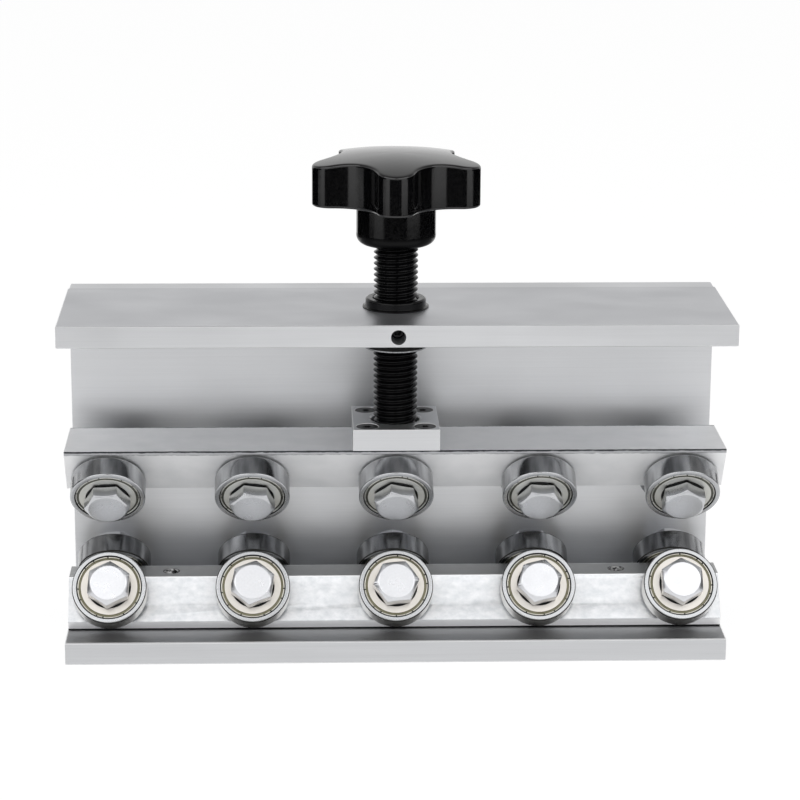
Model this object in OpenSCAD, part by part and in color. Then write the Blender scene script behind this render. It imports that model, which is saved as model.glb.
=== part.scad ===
// Tube straightener. Millimetres, +X along the tube, -Y towards the user, +Z up.
// The origin is on the clamp screw's axis, at the underside of the bottom plate.

/* [Frame] */
// Length of the top plate along the tube
top_plate_l = 231; // [230:0.5:234]
// Length of the back and bottom plates
plate_l = 230; // [229.5:0.5:233]
// Depth of the top and bottom plates, in front of the back plate
plate_depth = 57.5; // [57:0.5:62]
// Height of the frame over everything
frame_h = 120.7; // [120:0.1:124]
// Thickness of the back plate
back_t = 8; // [8:0.5:12]
// Thickness of the top plate
top_t = 7.7; // [7.7:0.1:8.5]
// Thickness of the bottom plate
bottom_t = 8; // [7.5:0.1:8]
// Width of the broken edges on the plates
edge_break = 0.3; // [0.1:0.1:0.5]

/* [Roller beams] */
// Length of both roller beams
beam_l = 229.5; // [228:0.5:231]
// Slope of the beams' long faces, from the vertical
slope_deg = 34; // [33:0.5:35]
// Height of the upper beam's top face over the base
upper_top_z = 73; // [72:0.5:78]
// Width of the upper beam's top face
upper_w = 31.2; // [31:0.2:32]
// Height of the upper beam
upper_h = 16; // [15:0.5:17]
// Height of the upright lip along the upper beam's top edges
upper_lip = 1.1; // [0.8:0.1:1.5]
// Height of the lower beam's flat top over the base
lower_top_z = 24.5; // [24:0.5:25]
// Width of the lower beam's flat top
lower_flat_w = 12.2; // [12:0.2:13]
// Height over the base at which the lower beam's slopes end
lower_skirt_z = 11; // [10.5:0.5:11.5]

/* [Rollers] */
// Rollers in each of the four rows
roller_count = 5; // [3:2:5]
// Distance between neighbouring rollers
roller_pitch = 50; // [50:0.5:52]
// Outside diameter of a roller, a shielded ball bearing
roller_d = 26; // [26:0.5:27]
// Width of a roller
roller_w = 8; // [8:0.5:8.5]
// Bore of a roller
roller_bore = 10; // [9.5:0.5:10]
// Thickness of the spacers behind the upper rollers
upper_spacer_t = 0.7; // [0.5:0.1:1]
// Thickness of the spacers behind the lower rollers
lower_spacer_t = 1.6; // [1.4:0.1:1.8]
// Distance down the slope from the lip's edge to an upper roller's axis
upper_drop = 13.1; // [13.1:0.1:13.4]
// Distance down the slope from the flat's edge to a lower roller's axis
lower_drop = 6.3; // [6:0.1:6.6]
// Size across the flats of the roller bolts' hexagon heads
bolt_af = 14; // [13:0.5:14.5]
// Height of the roller bolts' heads
bolt_head_h = 5.7; // [5:0.1:6.4]

/* [Clamp screw] */
// Diameter over the screw's thread
screw_d = 15.4; // [15:0.1:15.6]
// Pitch of the screw's thread
screw_pitch = 2; // [1.5:0.5:2.5]
// Diameter of the bush below the top plate's upper face
bush_d = 22.6; // [22:0.1:23]
// Diameter of the bush's collar above the top plate
bush_collar_d = 21; // [20:0.1:21.5]
// Height of the bush's underside over the base
bush_low_z = 106.5; // [105:0.5:108]
// Height of the bush's top over the base
bush_top_z = 124; // [123:0.5:126]
// Thickness of the keeper plate on the upper beam
keeper_t = 7.5; // [7:0.1:8]
// Length of the keeper plate along the tube
keeper_l = 30; // [29:0.5:32]

/* [Knob] */
// Radius from the screw's axis to a lobe's tip
knob_r = 29.9; // [28:0.1:31]
// Radius of the round end of a lobe
lobe_r = 6.5; // [6:0.1:7]
// Radius from the screw's axis to the bottom of the hollow between two lobes
hollow_r = 20.5; // [20:0.1:21]
// Height of the lobes' underside over the base
lobe_low_z = 157.6; // [156:0.1:158]
// Height of the domed top's middle over the base
knob_top_z = 174.8; // [174:0.1:176]
// Diameter of the knob's hub
hub_d = 27.5; // [26:0.1:29]
// Height of the hub's underside over the base
hub_low_z = 143; // [142:0.1:144]
// Turn of the knob at rest
knob_turn = -2.2; // [-36:0.1:36]

/* [Hidden] */
ROWS = ["upper_front", "upper_rear", "lower_front", "lower_rear"];
function row_nodes(what) = [for (r = ROWS) str(what, "_", r)];
function roller_node(row, i) = str("roller_", ROWS[row], "_", i + 1);

// Fits inside one body, and between a turning piece and what it turns in
fit_gap = 0.05;
run_gap = 0.05;
// A cut runs this far past the face that it opens
past = 1;

// Frame
front_y = -plate_depth / 2;
back_y = plate_depth / 2;
top_low_z = frame_h - top_t;
frame_screw_xs = [-96, -32, 32, 96];
frame_screw_d = 4;
frame_screw_head_d = 7;
frame_screw_l = 18;
frame_screw_zs = [bottom_t / 2 + 0.1, frame_h - top_t / 2 - 0.1];
set_hole_d = 5.2;
set_hole_z = 116.5;
set_screw_l = 8;

// Beams
upper_low_z = upper_top_z - upper_h;
upper_lip_z = upper_top_z - upper_lip;
upper_low_w = upper_w - 2 * (upper_lip_z - upper_low_z) * tan(slope_deg);
lower_skirt_w = lower_flat_w + 2 * (lower_top_z - lower_skirt_z) * tan(slope_deg);
// The lower beam stands on a slightly narrower step, which leaves a dark line below it
step_h = 0.5;
step_in = 0.8;
beam_screw_xs = [-79, 79];
beam_screw_d = 5;
beam_screw_head_d = 9;
beam_screw_tip_z = lower_top_z - 1.4;

// Rollers and what they turn on
ball_d = 4.76;
ball_count = 7;
ball_circle_r = 9;
ball_groove_r = ball_d / 2 + 0.04;
race_chamfer = 0.4;
outer_race_in_r = 10.6;
inner_race_out_r = 7.2;
shield_seat_r = 11.15;
shield_seat_deep = 1;
shield_in_r = 7.5;
shield_step_r = 9.65;
shield_t = 0.35;
cage_r = [8.5, 9.5];
cage_h = 5.7;
shank_r = roller_bore / 2 - 0.03;
// How far the roller bolts reach into the beams, which stops short of the opposite bolt
bolt_reach = [6, 7];
bolt_face_d = 12.2;
bolt_washer_face_d = 13;
bolt_washer_face_h = 0.3;
// Turn of each roller bolt's head, row by row, as they came to rest when tightened
head_turn = [[4, -10, -16, -4, 26], [12, -25, 8, 19, -7], [26, 21, 6, 14, 31], [-14, 9, 28, -3, 17]];

// Screw, bush and keeper
screw_r = screw_d / 2;
thread_deep = 1.1;
bush_bore_r = screw_r + run_gap;
bush_lip_d = bush_d + 0.5;
bush_lip_t = 0.6;
keeper_top_z = upper_top_z + keeper_t;
keeper_bore_r = screw_r + 0.8;
keeper_hole_xs = [-10.05, 10.05];
keeper_hole_ys = [-10.8, 10.8];
keeper_screw_d = 4;
keeper_screw_head_d = 7.6;
keeper_screw_tip_z = upper_top_z - 4.8;
foot_r = 11;
foot_t = 3.2;
foot_z = upper_top_z + run_gap;
foot_pocket_r = foot_r + 0.3;
foot_pocket_z = foot_z + foot_t + 0.15;
spigot_r = 5;
screw_top_z = 163;

// Knob
lobe_count = 5;
lobe_centre_r = knob_r - lobe_r;
half_lobe_deg = 180 / lobe_count;
dome_r = 139;
hub_round = 3.25;
insert_r = 9.8;
insert_top_z = screw_top_z;
// The hollow's arc touches two neighbouring lobes and passes hollow_r from the axis
hollow_arc_r = (hollow_r * hollow_r + lobe_centre_r * lobe_centre_r
    - 2 * hollow_r * lobe_centre_r * cos(half_lobe_deg) - lobe_r * lobe_r)
    / (2 * (lobe_r - hollow_r + lobe_centre_r * cos(half_lobe_deg)));

bore_fn = 72;

function is_upper(row) = row < 2;
function is_front(row) = row % 2 == 0;
function roller_x(i) = (i - (roller_count - 1) / 2) * roller_pitch;
function spacer_t(row) = is_upper(row) ? upper_spacer_t : lower_spacer_t;
function seat_y(row) = is_upper(row)
    ? upper_w / 2 - upper_drop * sin(slope_deg)
    : lower_flat_w / 2 + lower_drop * sin(slope_deg);
function seat_z(row) = is_upper(row)
    ? upper_lip_z - upper_drop * cos(slope_deg)
    : lower_top_z - lower_drop * cos(slope_deg);
function reach(row) = is_upper(row) ? bolt_reach[0] : bolt_reach[1];

// Puts its children on a beam's slope: their z = 0 lies on the slope and +z points away from it
module on_slope(row, i) {
    translate([roller_x(i), 0, 0])
        rotate([0, 0, is_front(row) ? 0 : 180])
            translate([0, -seat_y(row), seat_z(row)])
                rotate([is_upper(row) ? 90 + slope_deg : 90 - slope_deg, 0, 0])
                    children();
}

module each_in_row(row) {
    for (i = [0:roller_count - 1])
        on_slope(row, i) children();
}

// A bar along X of the given length, whose section is a list of [y, z] points
module bar_x(l, section) {
    rotate([90, 0, 90])
        linear_extrude(height = l, center = true)
            polygon(section);
}

// Space between the broken end edges of a plate that lies between the heights z0 and z1
module broken_ends(l, z0, z1) {
    b = edge_break;
    rotate([90, 0, 0])
        linear_extrude(height = 4 * plate_depth, center = true)
            polygon([[-l / 2 + b, z0], [l / 2 - b, z0], [l / 2, z0 + b], [l / 2, z1 - b],
                     [l / 2 - b, z1], [-l / 2 + b, z1], [-l / 2, z1 - b], [-l / 2, z0 + b]]);
}

// Countersunk socket screw along +z: the head's flat face is at z = 0 and the tip at z = l
module countersunk_screw(d, head_d, l) {
    socket_af = 0.6 * d;
    tip = 0.5;
    difference() {
        rotate_extrude($fn = bore_fn)
            polygon([[0, 0], [head_d / 2, 0], [head_d / 2, 0.3], [d / 2, 0.3 + (head_d - d) / 2],
                     [d / 2, l - tip], [d / 2 - tip, l], [0, l]]);
        translate([0, 0, -past])
            cylinder(h = past + 0.35 * d, r = socket_af / 2 / cos(30), $fn = 6);
    }
}

// The hole that a countersunk screw sits in, blind where the screw ends
module countersunk_hole(d, head_d, l) {
    rotate_extrude($fn = bore_fn)
        polygon([[0, -past], [head_d / 2 + fit_gap, -past], [head_d / 2 + fit_gap, 0.3 + fit_gap],
                 [d / 2 + fit_gap, 0.3 + fit_gap + (head_d - d) / 2],
                 [d / 2 + fit_gap, l + 0.5], [0, l + 0.5]]);
}

module at_frame_screws() {
    for (x = frame_screw_xs)
        for (z = frame_screw_zs)
            translate([x, back_y + back_t - 0.1, z])
                rotate([90, 0, 0])
                    children();
}

module frame_screw_holes() {
    at_frame_screws() countersunk_hole(frame_screw_d, frame_screw_head_d, frame_screw_l);
}

module back_plate() {
    b = edge_break;
    y1 = back_y + back_t;
    color("silver")
        difference() {
            intersection() {
                bar_x(plate_l, [[back_y, 0], [y1 - b, 0], [y1, b], [y1, frame_h - b],
                                [y1 - b, frame_h], [back_y, frame_h]]);
                broken_ends(plate_l, 0, frame_h);
            }
            frame_screw_holes();
        }
}

module top_plate() {
    b = edge_break;
    color("silver")
        difference() {
            intersection() {
                bar_x(top_plate_l, [[front_y + b, top_low_z], [back_y, top_low_z],
                                    [back_y, frame_h], [front_y + b, frame_h],
                                    [front_y, frame_h - b], [front_y, top_low_z + b]]);
                broken_ends(top_plate_l, top_low_z, frame_h);
            }
            translate([0, 0, top_low_z - past])
                cylinder(h = top_t + 2 * past, d = bush_d + 2 * fit_gap, $fn = bore_fn);
            translate([0, 0, set_hole_z])
                rotate([90, 0, 0])
                    cylinder(h = plate_depth / 2 + past, d = set_hole_d, $fn = bore_fn);
            frame_screw_holes();
        }
}

module bottom_plate() {
    b = edge_break;
    color("silver")
        difference() {
            intersection() {
                bar_x(plate_l, [[front_y + b, 0], [back_y, 0], [back_y, bottom_t],
                                [front_y + b, bottom_t], [front_y, bottom_t - b], [front_y, b]]);
                broken_ends(plate_l, 0, bottom_t);
            }
            frame_screw_holes();
            lower_beam_screw_holes();
        }
}

module frame_screws() {
    color("dimgray")
        at_frame_screws() countersunk_screw(frame_screw_d, frame_screw_head_d, frame_screw_l);
}

module roller_bolt_holes(rows) {
    for (row = rows)
        each_in_row(row)
            translate([0, 0, -reach(row) - 0.2])
                cylinder(h = reach(row) + 0.2 + past, d = roller_bore, $fn = bore_fn);
}

module at_keeper_screws() {
    for (x = keeper_hole_xs)
        for (y = keeper_hole_ys)
            translate([x, y, keeper_top_z - 0.1])
                rotate([180, 0, 0])
                    children();
}

module keeper_screw_holes() {
    at_keeper_screws()
        countersunk_hole(keeper_screw_d, keeper_screw_head_d, keeper_top_z - 0.1 - keeper_screw_tip_z);
}

module upper_beam() {
    color("gainsboro")
        difference() {
            bar_x(beam_l, [[-upper_w / 2, upper_top_z], [-upper_w / 2, upper_lip_z],
                           [-upper_low_w / 2, upper_low_z], [upper_low_w / 2, upper_low_z],
                           [upper_w / 2, upper_lip_z], [upper_w / 2, upper_top_z]]);
            roller_bolt_holes([0, 1]);
            keeper_screw_holes();
        }
}

module at_lower_beam_screws() {
    for (x = beam_screw_xs)
        translate([x, 0, 0.1])
            children();
}

module lower_beam_screw_holes() {
    at_lower_beam_screws()
        countersunk_hole(beam_screw_d, beam_screw_head_d, lower_top_z + past);
}

module lower_beam() {
    stand_w = lower_skirt_w - 2 * step_in;
    color("gainsboro")
        difference() {
            bar_x(beam_l, [[-stand_w / 2, bottom_t], [stand_w / 2, bottom_t],
                           [stand_w / 2, bottom_t + step_h], [lower_skirt_w / 2, bottom_t + step_h],
                           [lower_skirt_w / 2, lower_skirt_z], [lower_flat_w / 2, lower_top_z],
                           [-lower_flat_w / 2, lower_top_z], [-lower_skirt_w / 2, lower_skirt_z],
                           [-lower_skirt_w / 2, bottom_t + step_h], [-stand_w / 2, bottom_t + step_h]]);
            roller_bolt_holes([2, 3]);
            lower_beam_screw_holes();
        }
}

module lower_beam_screws() {
    color("gray")
        at_lower_beam_screws()
            countersunk_screw(beam_screw_d, beam_screw_head_d, beam_screw_tip_z - 0.1);
}

// Outer race with its two pressed shields. They turn together as the roller.
module roller(row, i) {
    w = roller_w;
    r = roller_d / 2;
    c = race_chamfer;
    color("lightsteelblue")
        on_slope(row, i)
            translate([0, 0, spacer_t(row)]) {
                rotate_extrude($fn = bore_fn)
                    difference() {
                        polygon([[outer_race_in_r, shield_seat_deep], [shield_seat_r, shield_seat_deep],
                                 [shield_seat_r, 0], [r - c, 0], [r, c], [r, w - c], [r - c, w],
                                 [shield_seat_r, w], [shield_seat_r, w - shield_seat_deep],
                                 [outer_race_in_r, w - shield_seat_deep]]);
                        translate([ball_circle_r, w / 2])
                            circle(r = ball_groove_r, $fn = bore_fn);
                    }
                shield();
                translate([0, 0, w])
                    rotate([180, 0, 0])
                        shield();
            }
}

// Sheet shield just inside a roller's face at z = 0, with a lower step round its rim
module shield() {
    z0 = 0.2;
    z1 = 0.5;
    rim_r = shield_seat_r - fit_gap;
    rotate_extrude($fn = bore_fn)
        polygon([[shield_in_r, z0], [shield_step_r, z0], [shield_step_r + 0.15, z1], [rim_r, z1],
                 [rim_r, z1 + shield_t], [shield_step_r - 0.1, z1 + shield_t],
                 [shield_step_r - 0.25, z0 + shield_t], [shield_in_r, z0 + shield_t]]);
}

module inner_races(row) {
    w = roller_w;
    r = inner_race_out_r;
    c = 0.2;
    color("silver")
        each_in_row(row)
            translate([0, 0, spacer_t(row)])
                rotate_extrude($fn = bore_fn)
                    difference() {
                        polygon([[roller_bore / 2, 0], [r - c, 0], [r, c], [r, w - c], [r - c, w],
                                 [roller_bore / 2, w]]);
                        translate([ball_circle_r, w / 2])
                            circle(r = ball_groove_r, $fn = bore_fn);
                    }
}

module at_balls(row) {
    each_in_row(row)
        for (k = [0:ball_count - 1])
            rotate([0, 0, k * 360 / ball_count])
                translate([ball_circle_r, 0, spacer_t(row) + roller_w / 2])
                    children();
}

module bearing_balls(row) {
    color("silver")
        at_balls(row) sphere(d = ball_d, $fn = 48);
}

module ball_cages(row) {
    color("tan")
        each_in_row(row)
            translate([0, 0, spacer_t(row) + roller_w / 2])
                difference() {
                    cylinder(h = cage_h, r = cage_r[1], center = true, $fn = bore_fn);
                    cylinder(h = cage_h + past, r = cage_r[0], center = true, $fn = bore_fn);
                    for (k = [0:ball_count - 1])
                        rotate([0, 90, k * 360 / ball_count])
                            cylinder(h = roller_d, d = ball_d + 2 * fit_gap, $fn = bore_fn);
                }
}

module roller_spacers(row) {
    color("gray")
        each_in_row(row)
            difference() {
                cylinder(h = spacer_t(row), r = inner_race_out_r, $fn = bore_fn);
                translate([0, 0, -past])
                    cylinder(h = spacer_t(row) + 2 * past, d = roller_bore, $fn = bore_fn);
            }
}

// Hexagon head whose outer corners are turned off at 30 degrees down to a round face
module hexagon_head(af, h, face_d) {
    corner_r = af / 2 / cos(30);
    drop = (corner_r - face_d / 2) * tan(30);
    intersection() {
        cylinder(h = h, r = corner_r, $fn = 6);
        rotate_extrude($fn = bore_fn)
            polygon([[0, 0], [corner_r, 0], [corner_r, h - drop], [face_d / 2, h], [0, h]]);
    }
}

module roller_bolts(row) {
    tip = 0.8;
    face_z = spacer_t(row) + roller_w;
    color("whitesmoke")
        for (i = [0:roller_count - 1])
            on_slope(row, i) {
                rotate_extrude($fn = bore_fn)
                    polygon([[0, -reach(row)], [shank_r - tip, -reach(row)],
                             [shank_r, tip - reach(row)], [shank_r, face_z],
                             [bolt_washer_face_d / 2, face_z],
                             [bolt_washer_face_d / 2, face_z + bolt_washer_face_h],
                             [0, face_z + bolt_washer_face_h]]);
                translate([0, 0, face_z + bolt_washer_face_h])
                    rotate([0, 0, head_turn[row][i]])
                        hexagon_head(bolt_af, bolt_head_h, bolt_face_d);
            }
}

module threaded_bush() {
    r = bush_d / 2;
    collar_r = bush_collar_d / 2;
    c = 0.5;
    color([0.12, 0.12, 0.13])
        rotate_extrude($fn = bore_fn)
            polygon([[bush_bore_r + c, bush_low_z], [r - c, bush_low_z], [r, bush_low_z + c],
                     [r, frame_h], [bush_lip_d / 2, frame_h], [bush_lip_d / 2, frame_h + 0.2],
                     [collar_r, frame_h + bush_lip_t], [collar_r, bush_top_z - c],
                     [collar_r - c, bush_top_z], [bush_bore_r + c, bush_top_z],
                     [bush_bore_r, bush_top_z - c], [bush_bore_r, bush_low_z + c]]);
}

module bush_set_screw() {
    tip_y = -bush_d / 2 - fit_gap;
    c = 0.5;
    r = set_hole_d / 2 - fit_gap;
    color("dimgray")
        translate([0, tip_y, set_hole_z])
            rotate([90, 0, 0])
                difference() {
                    rotate_extrude($fn = bore_fn)
                        polygon([[0, 0], [r - 2 * c, 0], [r, 2 * c], [r, set_screw_l - c],
                                 [r - c, set_screw_l], [0, set_screw_l]]);
                    translate([0, 0, set_screw_l - 3])
                        cylinder(h = 3 + past, r = 1.5 / cos(30), $fn = 6);
                }
}

module keeper_plate() {
    c = 0.5;
    color("silver")
        difference() {
            translate([-keeper_l / 2, -upper_w / 2, upper_top_z])
                cube([keeper_l, upper_w, keeper_t]);
            translate([0, 0, upper_top_z - past])
                cylinder(h = keeper_t + 2 * past, r = keeper_bore_r, $fn = bore_fn);
            translate([0, 0, keeper_top_z - c])
                cylinder(h = 2 * c, r1 = keeper_bore_r, r2 = keeper_bore_r + 2 * c, $fn = bore_fn);
            translate([0, 0, upper_top_z - past])
                cylinder(h = foot_pocket_z - upper_top_z + past, r = foot_pocket_r, $fn = bore_fn);
            keeper_screw_holes();
        }
}

module keeper_screws() {
    color("dimgray")
        at_keeper_screws()
            countersunk_screw(keeper_screw_d, keeper_screw_head_d,
                              keeper_top_z - 0.1 - keeper_screw_tip_z);
}

// Points of a ridged flank: one 60 degree ridge for each turn of the thread, from z0 up to z1
function ridges(z0, z1) =
    [for (k = [0:floor((z1 - z0) / screw_pitch) - 1])
        for (p = [[-thread_deep, 0.06], [0, 0.44], [0, 0.56], [-thread_deep, 0.94]])
            [screw_r + p[0], z0 + (k + p[1]) * screw_pitch]];

module clamp_screw() {
    thread_z = foot_z + foot_t;
    color([0.1, 0.1, 0.11])
        rotate_extrude($fn = bore_fn)
            polygon(concat(
                [[0, foot_z], [spigot_r - 0.5, foot_z], [spigot_r, foot_z + 0.5],
                 [spigot_r, thread_z], [screw_r - thread_deep, thread_z]],
                ridges(thread_z, screw_top_z - 0.5),
                [[screw_r - thread_deep, screw_top_z - 0.3], [0, screw_top_z - 0.3]]));
}

module screw_foot() {
    c = 0.4;
    color("dimgray")
        rotate_extrude($fn = bore_fn)
            polygon([[spigot_r + 0.02, foot_z], [foot_r - c, foot_z], [foot_r, foot_z + c],
                     [foot_r, foot_z + foot_t - c], [foot_r - c, foot_z + foot_t],
                     [spigot_r + 0.02, foot_z + foot_t]]);
}

// Points of an arc about c, from angle a0 to a1 in n steps
function arc(c, r, a0, a1, n) =
    [for (k = [0:n]) let (a = a0 + (a1 - a0) * k / n) [c[0] + r * cos(a), c[1] + r * sin(a)]];

function turned(points, a) =
    [for (p = points) [p[0] * cos(a) - p[1] * sin(a), p[0] * sin(a) + p[1] * cos(a)]];

// Plan of the knob: round lobes, joined by hollows that are arcs touching both neighbours
module star_plan() {
    hollow_centre = (hollow_r + hollow_arc_r) * [cos(half_lobe_deg), sin(half_lobe_deg)];
    touch_deg = atan2(hollow_centre[1], hollow_centre[0] - lobe_centre_r);
    lobe = arc([lobe_centre_r, 0], lobe_r, -touch_deg, touch_deg, 24);
    hollow = arc(hollow_centre, hollow_arc_r, 180 + touch_deg,
                 180 + 2 * half_lobe_deg - touch_deg, 12);
    inner_hollow = [for (k = [1:len(hollow) - 2]) hollow[k]];
    polygon([for (k = [0:lobe_count - 1])
        each turned(concat(lobe, inner_hollow), 2 * k * half_lobe_deg)]);
}

module star_knob() {
    hub_r = hub_d / 2;
    color([0.1, 0.1, 0.1])
        difference() {
            union() {
                intersection() {
                    translate([0, 0, lobe_low_z])
                        rotate([0, 0, knob_turn - 90])
                            linear_extrude(height = knob_top_z - lobe_low_z)
                                star_plan();
                    translate([0, 0, knob_top_z - dome_r])
                        sphere(r = dome_r, $fn = bore_fn);
                }
                rotate_extrude($fn = bore_fn)
                    union() {
                        translate([0, hub_low_z])
                            square([hub_r - hub_round, lobe_low_z - hub_low_z + past]);
                        translate([0, hub_low_z + hub_round])
                            square([hub_r, lobe_low_z - hub_low_z - hub_round + past]);
                        translate([hub_r - hub_round, hub_low_z + hub_round])
                            circle(r = hub_round, $fn = bore_fn);
                    }
            }
            translate([0, 0, hub_low_z - past])
                cylinder(h = insert_top_z - hub_low_z + past, r = insert_r + fit_gap, $fn = bore_fn);
        }
}

// Bush moulded into the knob, which holds the top of the screw
module knob_insert() {
    groove = 0.6;
    z0 = hub_low_z + 0.2;
    z1 = insert_top_z - 0.1;
    mid = (z0 + z1) / 2;
    color("darkgray")
        rotate_extrude($fn = bore_fn)
            polygon([[screw_r + fit_gap, z0], [insert_r, z0], [insert_r, mid - 1.5],
                     [insert_r - groove, mid - 1.5], [insert_r - groove, mid + 1.5],
                     [insert_r, mid + 1.5], [insert_r, z1], [screw_r + fit_gap, z1]]);
}

back_plate();
top_plate();
bottom_plate();
frame_screws();
upper_beam();
lower_beam();
lower_beam_screws();
threaded_bush();
bush_set_screw();
keeper_plate();
keeper_screws();
clamp_screw();
screw_foot();
star_knob();
knob_insert();
for (row = [0:3]) {
    for (i = [0:roller_count - 1])
        roller(row, i);
    roller_bolts(row);
    inner_races(row);
    bearing_balls(row);
    ball_cages(row);
    roller_spacers(row);
}
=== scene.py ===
# %% [markdown]
# # A tube straightener, dressed for its picture
# The straightener is a bench tool: aluminium plates hold two aluminium beams, each beam carries
# ten tilted ball bearings, and a black screw with a star knob presses the upper beam down on the
# tube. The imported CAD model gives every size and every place. This notebook keeps the plain
# plates from it, and makes new skins for the pieces whose looks live in small shapes: bearings,
# bolts, thread, knob and bush.

# %% Load the fixed frame
import math

import bmesh
import bpy
import numpy as np
from mathutils import Matrix, Vector


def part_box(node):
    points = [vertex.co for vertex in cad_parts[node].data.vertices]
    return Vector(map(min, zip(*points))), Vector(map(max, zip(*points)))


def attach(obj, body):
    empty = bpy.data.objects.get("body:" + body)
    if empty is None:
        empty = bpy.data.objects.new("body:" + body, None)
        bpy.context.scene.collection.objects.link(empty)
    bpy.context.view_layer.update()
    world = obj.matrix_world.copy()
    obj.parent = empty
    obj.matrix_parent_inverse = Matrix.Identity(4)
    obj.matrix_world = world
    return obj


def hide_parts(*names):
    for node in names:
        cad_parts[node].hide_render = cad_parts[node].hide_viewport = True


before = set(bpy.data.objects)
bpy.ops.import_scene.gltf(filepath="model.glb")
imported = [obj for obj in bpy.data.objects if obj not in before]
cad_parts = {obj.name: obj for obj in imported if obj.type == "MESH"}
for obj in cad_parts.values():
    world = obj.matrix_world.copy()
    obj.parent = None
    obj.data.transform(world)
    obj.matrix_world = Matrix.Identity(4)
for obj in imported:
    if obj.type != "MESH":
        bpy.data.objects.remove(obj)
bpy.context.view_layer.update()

MM = 0.001
scene = bpy.context.scene
print("nodes in the frame:", len(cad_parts))

# %% [markdown]
# ## Colour
# Colours are written the way a paint chart or a picture editor gives them, as sRGB hex values.
# Blender's shaders work with linear light, so one function turns a hex value into that.


# %% One function for every colour
def colour(hex_value):
    """Linear red, green, blue and alpha 1 of an sRGB hex value: each channel c goes to
    c / 12.92 below 0.04045, and to ((c + 0.055) / 1.055) to the power 2.4 above it."""
    c = np.array([int(hex_value[k:k + 2], 16) for k in (1, 3, 5)]) / 255
    linear = np.where(c < 0.04045, c / 12.92, ((c + 0.055) / 1.055) ** 2.4)
    return (*linear.tolist(), 1.0)


# %% [markdown]
# ## Camera
# The photograph was taken with a long lens from a little left of the middle and about 15 degrees
# above the tool. The camera's place and turn come from matching the plates' edges, and the focal
# length is written for a 36 mm sensor over a square picture of 800 pixels.

# %% Camera
def put(name, data):
    """A new object in the scene that shows a mesh, a lamp or a camera."""
    made = bpy.data.objects.new(name, data)
    scene.collection.objects.link(made)
    return made


CAMERA_PLACE = np.array([-35.36, -972.13, 349.46]) * MM
YAW, PITCH, ROLL = np.radians([2.182, 15.1, -0.332])
FOCAL_PIXELS = 2880.3
PICTURE_WIDTH = 800
SENSOR_MM = 36.0


def camera_axes(yaw, pitch, roll):
    """The camera's right, down and forward directions: forward is turned by yaw about Z and
    lowered by pitch, and right and down are then turned by roll about forward."""
    forward = np.array([math.sin(yaw) * math.cos(pitch), math.cos(yaw) * math.cos(pitch),
                        -math.sin(pitch)])
    level = np.array([math.cos(yaw), -math.sin(yaw), 0.0])
    under = np.cross(forward, level)
    right = math.cos(roll) * level + math.sin(roll) * under
    down = -math.sin(roll) * level + math.cos(roll) * under
    return right, down, forward


right, down, forward = camera_axes(YAW, PITCH, ROLL)
camera_data = bpy.data.cameras.new("camera")
camera_data.sensor_width = SENSOR_MM
camera_data.lens = FOCAL_PIXELS * SENSOR_MM / PICTURE_WIDTH
camera_data.clip_start = 0.05
camera_data.clip_end = 50
camera = put("camera", camera_data)
matrix = np.eye(4)
matrix[:3, 0], matrix[:3, 1], matrix[:3, 2] = right, -down, -forward
matrix[:3, 3] = CAMERA_PLACE
camera.matrix_world = Matrix(matrix.tolist())
scene.camera = camera
scene.view_settings.view_transform = "Standard"
print("lens in mm:", round(camera_data.lens, 2))


# %% [markdown]
# ## Shader nodes
# Every material here is a small tree of nodes. One function adds any kind of node, sets its
# properties, and fills each input with a number or with a link from another node.


# %% Nodes
def add(tree, kind, inputs=None, **settings):
    """Adds one node to the tree. settings are the node's properties, and inputs maps the name or
    number of an input to a value or to the output socket that feeds it."""
    made = tree.nodes.new(kind)
    for name, value in settings.items():
        setattr(made, name, value)
    for name, value in (inputs or {}).items():
        if isinstance(value, bpy.types.NodeSocket):
            tree.links.new(value, made.inputs[name])
        else:
            made.inputs[name].default_value = value
    return made


def blank(name):
    """A new material with an empty tree."""
    made = bpy.data.materials.new(name)
    made.use_nodes = True
    made.node_tree.nodes.clear()
    return made, made.node_tree


# %% [markdown]
# ## Studio
# The tool stands in a white studio: a pale floor, soft walls, and a wide lamp high on each hand
# in front. The walls are light near the floor and dim towards the ceiling, which gives the
# bearings their dark upper sides. The height that a ray looks up to is Z of the world's own
# Generated coordinates.

# %% Walls
WHITE = (1.0, 1.0, 1.0, 1.0)
WALL_GLOW, CEILING_GLOW = 1.0, 0.34
DIMS_FROM, DIMS_TO = 0.12, 0.78
world = bpy.data.worlds.new("studio")
scene.world = world
world.use_nodes = True
walls = world.node_tree
walls.nodes.clear()
place = add(walls, "ShaderNodeTexCoord")
axes = add(walls, "ShaderNodeSeparateXYZ", {0: place.outputs["Generated"]})
rise = add(walls, "ShaderNodeMapRange",
           {"Value": axes.outputs["Z"], "From Min": DIMS_FROM, "From Max": DIMS_TO,
            "To Min": WALL_GLOW, "To Max": CEILING_GLOW}, interpolation_type="SMOOTHSTEP")
background = add(walls, "ShaderNodeBackground", {"Color": WHITE, "Strength": rise.outputs[0]})
add(walls, "ShaderNodeOutputWorld", {"Surface": background.outputs[0]})
print("glow of walls and ceiling:", WALL_GLOW, CEILING_GLOW)

# %% [markdown]
# ### Floor
# The floor is white paper. Part of it is a diffuse surface, which keeps the soft shadow under the
# plate, and part is a white glow for the camera and for reflections, so that it reads as white
# without more light on the metal.

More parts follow.
